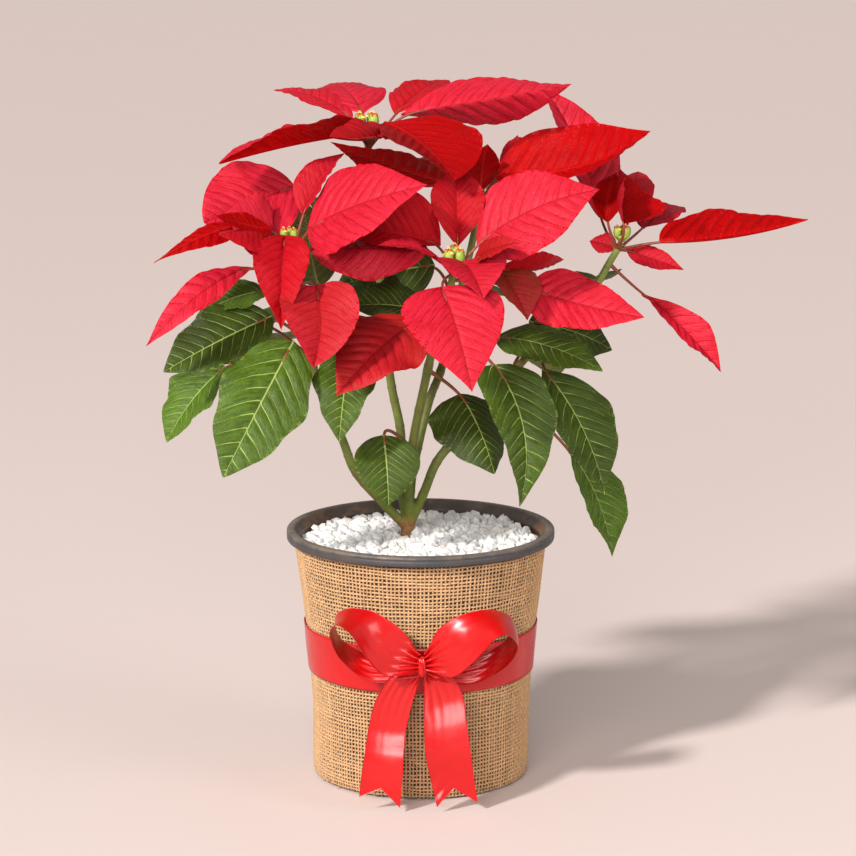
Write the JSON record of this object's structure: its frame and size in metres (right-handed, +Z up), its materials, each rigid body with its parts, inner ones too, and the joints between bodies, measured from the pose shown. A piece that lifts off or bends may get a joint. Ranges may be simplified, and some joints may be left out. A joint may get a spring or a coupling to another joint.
{
  "type": "potted poinsettia",
  "caption": "House plant with red bracts and green leaves, standing in a plastic nursery pot that is wrapped in burlap and tied with a satin ribbon bow.",
  "frame": {"origin": "centre of the flat underside of the pot", "axes": "+Z up along the pot's axis; -Y towards the ribbon bow, which is the front; +X to the right seen from the front"},
  "size_m": [0.3535, 0.2397, 0.3869],
  "materials": {
    "pot_plastic": "dark grey moulded plastic, slightly satin",
    "soil": "dark potting soil, matt",
    "gravel": "white crushed stone",
    "burlap": "open plain weave of tan jute",
    "satin": "red satin ribbon",
    "leaf_green": "green leaf, soft sheen, sunken paler veins",
    "bract_red": "red bract, soft sheen, sunken veins",
    "flower_green": "yellow-green cups with red lips",
    "bark": "brown bark"
  },
  "bodies": {
    "root": {"pot": "pot_plastic", "soil": "soil", "gravel": "gravel", "burlap_wrap": "burlap", "ribbon_band": "satin", "ribbon_bow": "satin", "leafy_stem_a": "leaf_green", "bracts_a": "bract_red", "flowers_a": "flower_green", "leafy_stem_b": "leaf_green", "bracts_b": "bract_red", "flowers_b": "flower_green", "leafy_stem_c": "leaf_green", "bracts_c": "bract_red", "flowers_c": "flower_green", "leafy_stem_d": "leaf_green", "bracts_d": "bract_red", "flowers_d": "flower_green", "leafy_stem_e": "leaf_green", "bracts_e": "bract_red", "flowers_e": "flower_green", "woody_base": "bark"}
  },
  "joints": []
}
